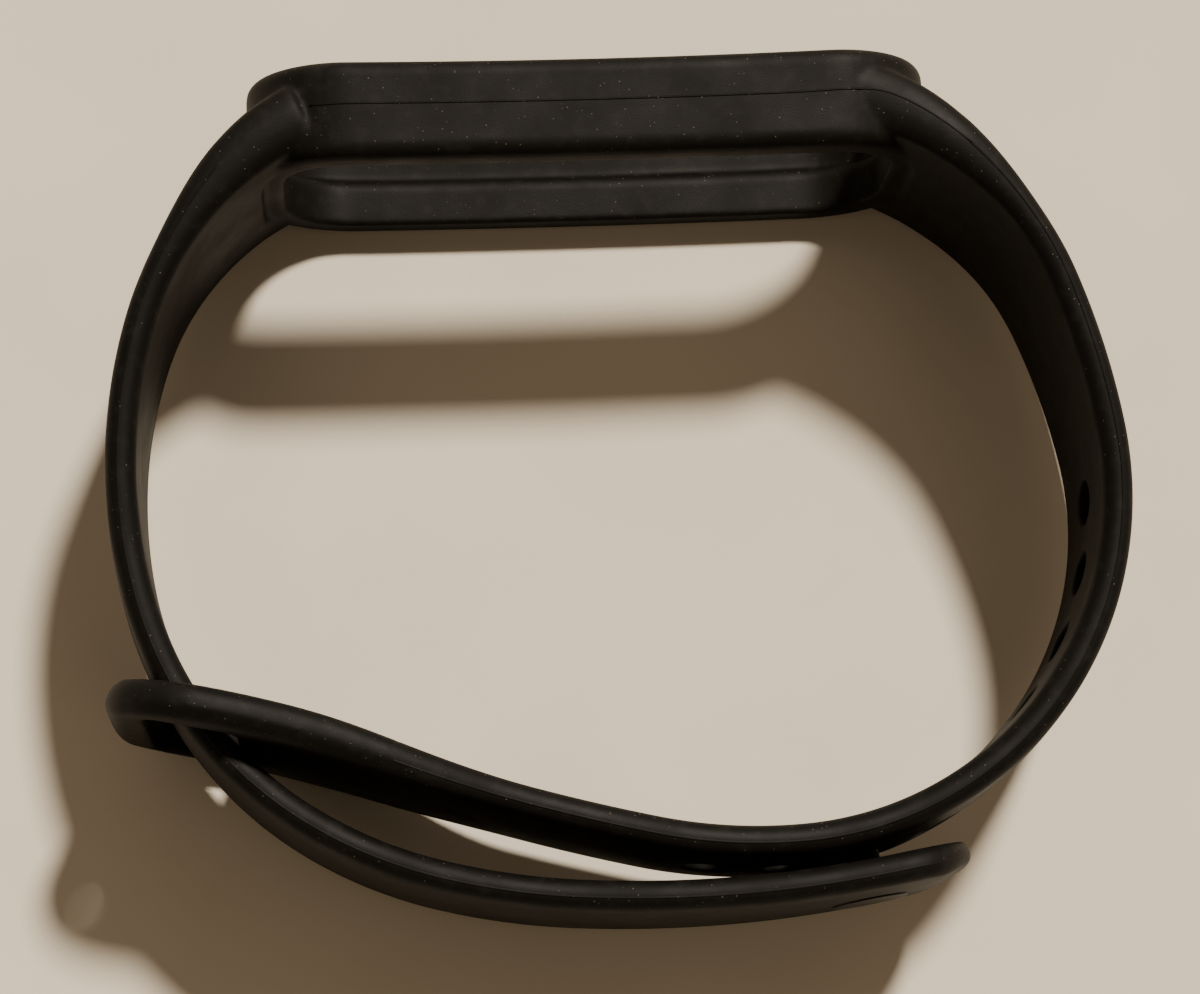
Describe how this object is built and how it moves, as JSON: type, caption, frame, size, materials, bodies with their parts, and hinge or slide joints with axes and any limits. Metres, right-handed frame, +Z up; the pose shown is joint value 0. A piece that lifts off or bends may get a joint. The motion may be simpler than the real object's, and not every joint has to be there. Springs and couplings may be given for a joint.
{
  "type": "fitness band wrist strap",
  "caption": "Closed silicone wrist band with an empty capsule frame, a punched strap ending in a keeper loop, and a studded tail strap.",
  "frame": {"origin": "middle of the base of the bounding box, on the surface that the band stands on with its long edges", "axes": "+X along the capsule frame, the longest extent; +Y from the buckle side towards the front of the capsule frame; +Z up across the band's width, the shortest extent"},
  "size_m": [0.067, 0.0556, 0.02],
  "materials": {
    "band_silicone": "satin moulded silicone with a fine matt grain, faint dust",
    "stud_plastic": "smooth satin black plastic"
  },
  "bodies": {
    "frame": {"capsule_frame": "band_silicone", "hole_strap_root": "band_silicone", "stud_strap_root": "band_silicone"},
    "hole_flex_1": {"hole_strap_link_1": "band_silicone"},
    "hole_flex_2": {"hole_strap_link_2": "band_silicone"},
    "hole_flex_3": {"hole_strap_link_3": "band_silicone"},
    "hole_end": {"hole_strap_link_4": "band_silicone", "hole_strap_link_5": "band_silicone", "hole_strap_link_6": "band_silicone", "keeper_loop": "band_silicone"},
    "stud_flex_1": {"stud_strap_link_1": "band_silicone"},
    "stud_flex_2": {"stud_strap_link_2": "band_silicone"},
    "stud_flex_3": {"stud_strap_link_3": "band_silicone"},
    "stud_flex_4": {"stud_strap_link_4": "band_silicone"},
    "tail_1": {"stud_strap_link_5": "band_silicone"},
    "tail_2": {"stud_strap_link_6": "band_silicone"},
    "tail_3": {"stud_strap_link_7": "band_silicone"},
    "tail_end": {"stud_strap_tip": "band_silicone", "stud_cap": "stud_plastic", "stud_post": "stud_plastic"}
  },
  "joints": [
    {"name": "hole_strap_bend_1", "type": "hinge", "parent": "frame", "child": "hole_flex_1", "pos_m": [0.02529, 0.01934, 0.01], "axis": [0, 0, -1], "range_deg": [-7, 7]},
    {"name": "hole_strap_bend_2", "type": "hinge", "parent": "hole_flex_1", "child": "hole_flex_2", "pos_m": [0.0308, 0.00882, 0.01], "axis": [0, 0, -1], "range_deg": [-5, 5]},
    {"name": "band_squeeze", "type": "hinge", "parent": "hole_flex_2", "child": "hole_flex_3", "pos_m": [0.03221, -0.00351, 0.01], "axis": [0, 0, -1], "range_deg": [-10, 10], "stiffness_Nm_per_rad": 0.03},
    {"name": "hole_strap_bend_4", "type": "hinge", "parent": "hole_flex_3", "child": "hole_end", "pos_m": [0.02575, -0.01675, 0.01], "axis": [0, 0, -1], "range_deg": [-9, 9]},
    {"name": "stud_strap_bend_1", "type": "hinge", "parent": "frame", "child": "stud_flex_1", "pos_m": [-0.02607, 0.01959, 0.01], "axis": [0, 0, -1], "range_deg": [-9, 9]},
    {"name": "stud_strap_bend_2", "type": "hinge", "parent": "stud_flex_1", "child": "stud_flex_2", "pos_m": [-0.031, 0.00986, 0.01], "axis": [0, 0, -1], "range_deg": [-8, 8]},
    {"name": "stud_strap_bend_3", "type": "hinge", "parent": "stud_flex_2", "child": "stud_flex_3", "pos_m": [-0.03195, -0.00104, 0.01], "axis": [0, 0, -1], "range_deg": [-10, 10]},
    {"name": "stud_strap_bend_4", "type": "hinge", "parent": "stud_flex_3", "child": "stud_flex_4", "pos_m": [-0.02959, -0.01071, 0.01], "axis": [0, 0, -1], "range_deg": [-8, 8]},
    {"name": "tail_peel", "type": "hinge", "parent": "stud_flex_4", "child": "tail_1", "pos_m": [-0.02141, -0.02063, 0.01], "axis": [0, 0, -1], "range_deg": [0, 12], "stiffness_Nm_per_rad": 0.02},
    {"name": "tail_bend_2", "type": "hinge", "parent": "tail_1", "child": "tail_2", "pos_m": [-0.01432, -0.02427, 0.01], "axis": [0, 0, -1], "range_deg": [0, 12]},
    {"name": "tail_bend_3", "type": "hinge", "parent": "tail_2", "child": "tail_3", "pos_m": [-0.00654, -0.0261, 0.01], "axis": [0, 0, -1], "range_deg": [0, 12]},
    {"name": "tail_bend_4", "type": "hinge", "parent": "tail_3", "child": "tail_end", "pos_m": [0.00143, -0.02667, 0.01], "axis": [0, 0, -1], "range_deg": [0, 12]}
  ],
  "couplings": [
    {"joint": "hole_strap_bend_1", "follows": "band_squeeze", "ratio": -0.643},
    {"joint": "hole_strap_bend_2", "follows": "band_squeeze", "ratio": 0.458},
    {"joint": "hole_strap_bend_4", "follows": "band_squeeze", "ratio": -0.863},
    {"joint": "stud_strap_bend_1", "follows": "band_squeeze", "ratio": 0.874},
    {"joint": "stud_strap_bend_2", "follows": "band_squeeze", "ratio": -0.757},
    {"joint": "stud_strap_bend_3", "follows": "band_squeeze", "ratio": -0.92},
    {"joint": "stud_strap_bend_4", "follows": "band_squeeze", "ratio": 0.753},
    {"joint": "tail_bend_2", "follows": "tail_peel", "ratio": 1},
    {"joint": "tail_bend_3", "follows": "tail_peel", "ratio": 1},
    {"joint": "tail_bend_4", "follows": "tail_peel", "ratio": 1}
  ]
}
